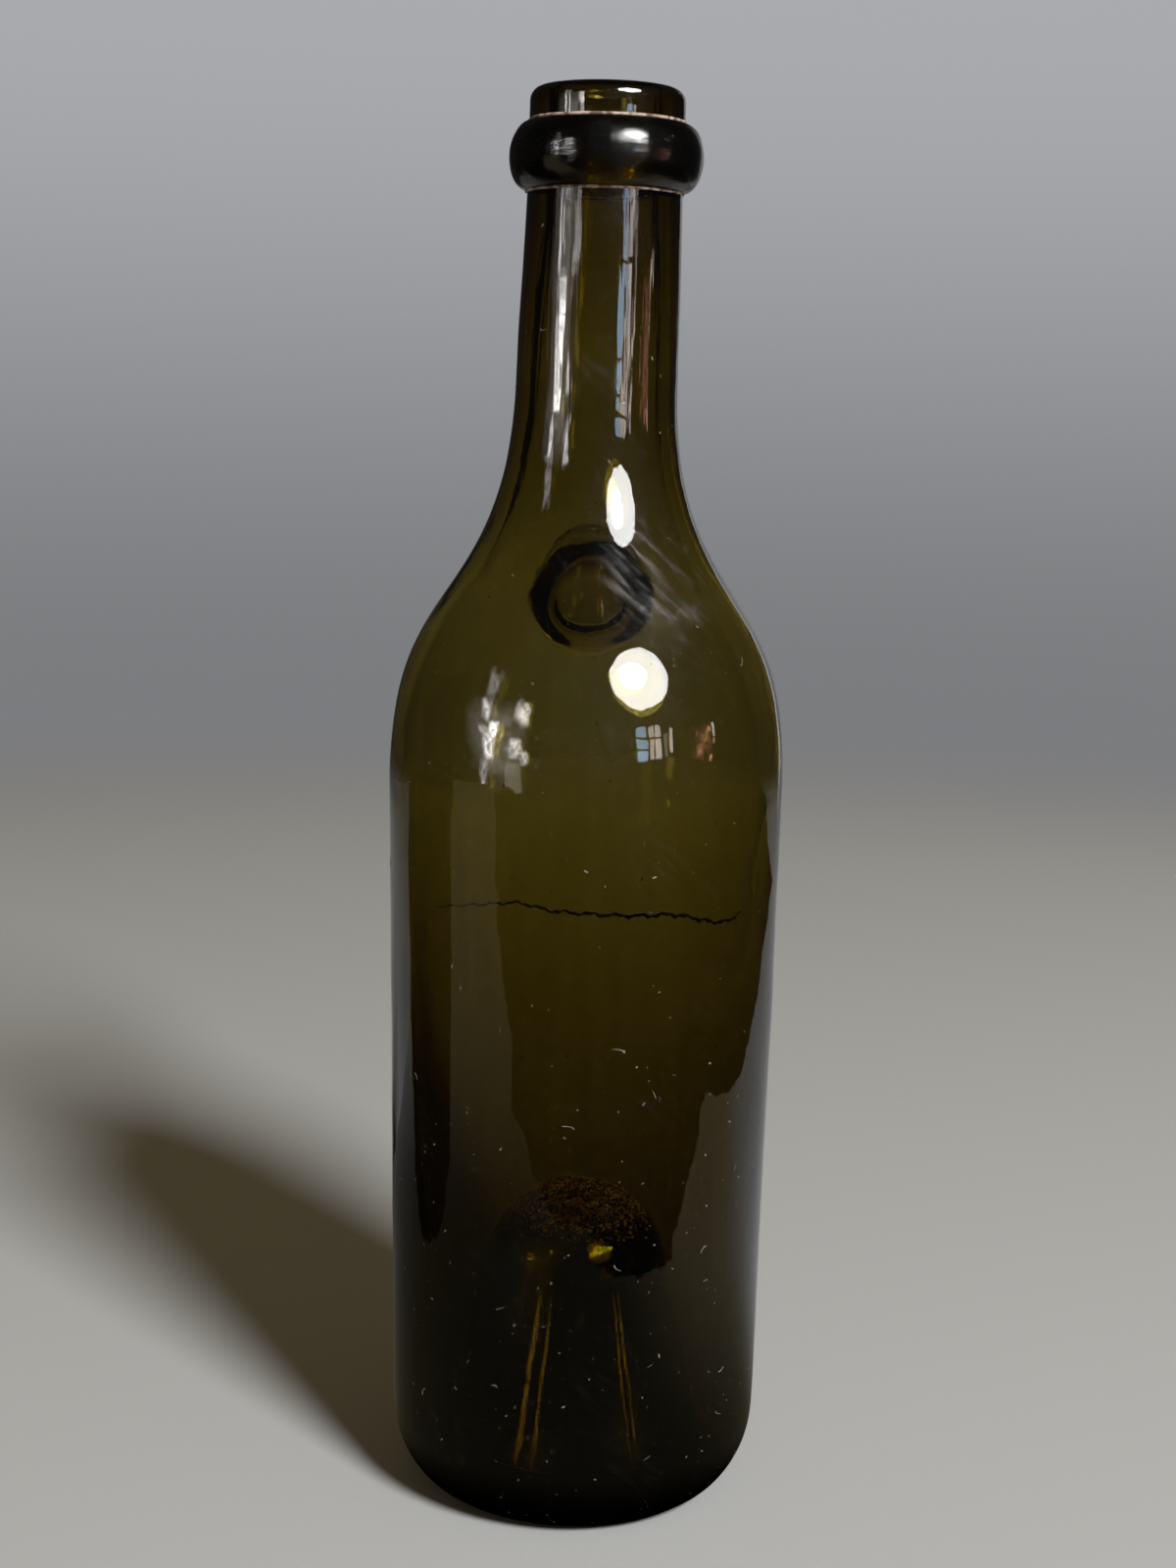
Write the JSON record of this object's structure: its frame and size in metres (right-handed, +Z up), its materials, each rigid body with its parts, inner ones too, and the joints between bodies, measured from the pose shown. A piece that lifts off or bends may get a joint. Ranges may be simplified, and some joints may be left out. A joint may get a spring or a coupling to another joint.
{
  "type": "absinthe bottle",
  "caption": "Tall mouth-blown dark glass bottle with a tapering body, deep punted base, applied string rim below the lip and a blank round seal on the shoulder.",
  "frame": {"origin": "middle of the resting ring, on the surface the bottle stands on", "axes": "+Z up the bottle's axis to the mouth, +Y towards the shoulder seal, +X across the seal"},
  "size_m": [0.084, 0.084, 0.3],
  "materials": {
    "bottle_glass": "dark olive blown glass, glossy, slightly uneven, with small bubbles",
    "string_glass": "dark olive glass laid on hot, glossy and slightly lumpy",
    "seal_glass": "dark olive glass, glossy, with a smooth pressed field"
  },
  "bodies": {
    "root": {"bottle_body": "bottle_glass", "string_rim": "string_glass", "shoulder_seal": "seal_glass"}
  },
  "joints": []
}
